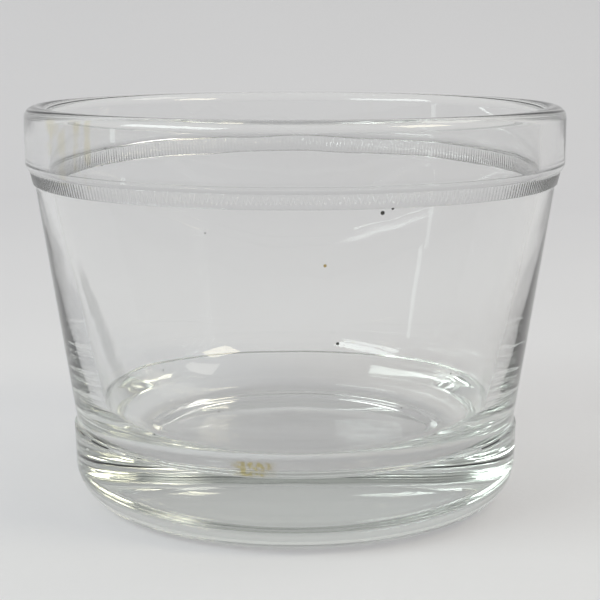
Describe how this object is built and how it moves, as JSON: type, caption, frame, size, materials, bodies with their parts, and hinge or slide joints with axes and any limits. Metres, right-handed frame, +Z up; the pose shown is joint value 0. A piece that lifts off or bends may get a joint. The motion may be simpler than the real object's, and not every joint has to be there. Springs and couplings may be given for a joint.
{
  "type": "beaker",
  "caption": "Squat round beaker of pressed glass with a thick foot, a tapered wall, a knurled ring and a plain rim band.",
  "frame": {"origin": "centre of the foot ring, on the surface that the beaker stands on", "axes": "+Z up along the beaker's axis, out of its mouth; +X and +Y are free, because the beaker is round"},
  "size_m": [0.09, 0.09, 0.067],
  "materials": {
    "pressed_glass": "clear pressed soda-lime glass, fire-polished, with a faint green tint in the thick foot"
  },
  "bodies": {
    "root": {"beaker_glass": "pressed_glass"}
  },
  "joints": []
}
